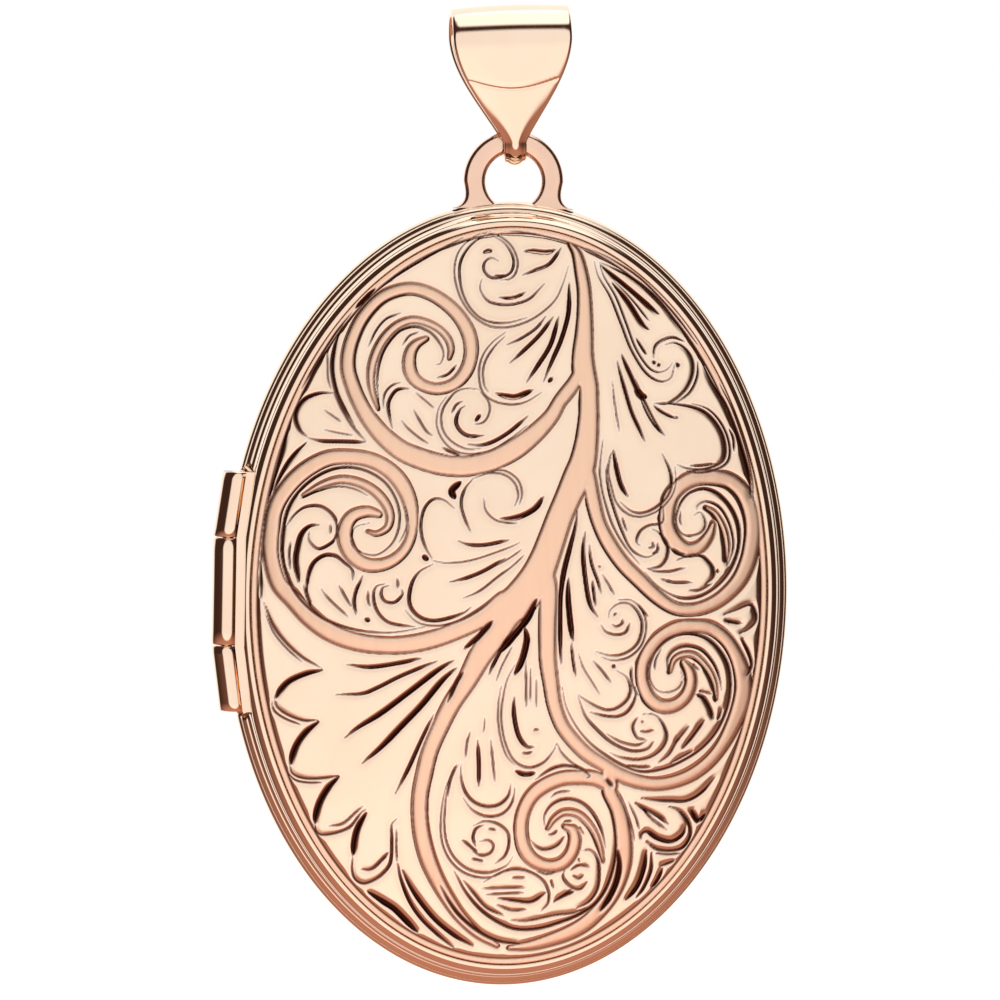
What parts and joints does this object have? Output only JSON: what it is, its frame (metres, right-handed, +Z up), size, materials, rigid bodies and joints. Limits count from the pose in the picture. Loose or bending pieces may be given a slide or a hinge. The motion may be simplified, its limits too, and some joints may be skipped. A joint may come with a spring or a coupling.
{
  "type": "locket",
  "caption": "Oval hinged photo locket in rose gold with an engraved scrollwork front, plain back, snap lip, photo frames inside, a hanger loop and a folded bail for a chain.",
  "frame": {"origin": "middle of the chain passage inside the top of the bail, where the chain holds the locket", "axes": "+X to the right seen from the front, away from the hinge; -Y is the way the engraved front faces; +Z up along the hanging locket"},
  "size_m": [0.0257, 0.0061, 0.0438],
  "materials": {
    "polished_rose_gold": "mirror-polished rose gold, 9 carat",
    "engraved_rose_gold": "polished rose gold with hand-cut scrolls and matted grounds",
    "inner_rose_gold": "satin rose gold",
    "hinge_wire": "drawn rose gold wire",
    "brass_plate": "brushed gilding metal sheet",
    "photo_card": "blank ivory photo paper",
    "clear_window": "clear acrylic sheet"
  },
  "bodies": {
    "bail": {"bail": "polished_rose_gold"},
    "back": {"back_shell": "polished_rose_gold", "back_rim": "polished_rose_gold", "hanger_loop": "polished_rose_gold", "snap_lip": "inner_rose_gold", "catch_pip": "inner_rose_gold", "back_backing_plate": "brass_plate", "back_photo_card": "photo_card", "back_window": "clear_window", "back_photo_frame": "inner_rose_gold", "back_hinge_strap": "polished_rose_gold", "upper_knuckle": "polished_rose_gold", "lower_knuckle": "polished_rose_gold", "hinge_pin": "hinge_wire"},
    "front": {"front_shell": "engraved_rose_gold", "front_rim": "polished_rose_gold", "front_backing_plate": "brass_plate", "front_photo_card": "photo_card", "front_window": "clear_window", "front_photo_frame": "inner_rose_gold", "front_hinge_strap": "polished_rose_gold", "middle_knuckle": "polished_rose_gold"}
  },
  "joints": [
    {"name": "bail_swing", "type": "hinge", "parent": "bail", "child": "back", "pos_m": [0.00023, 0, -0.00442], "axis": [1, 0, 0], "range_deg": [-90, 90]},
    {"name": "cover_hinge", "type": "hinge", "parent": "back", "child": "front", "pos_m": [-0.01224, -0.00038, -0.02457], "axis": [0, 0, -1], "range_deg": [0, 180]}
  ]
}
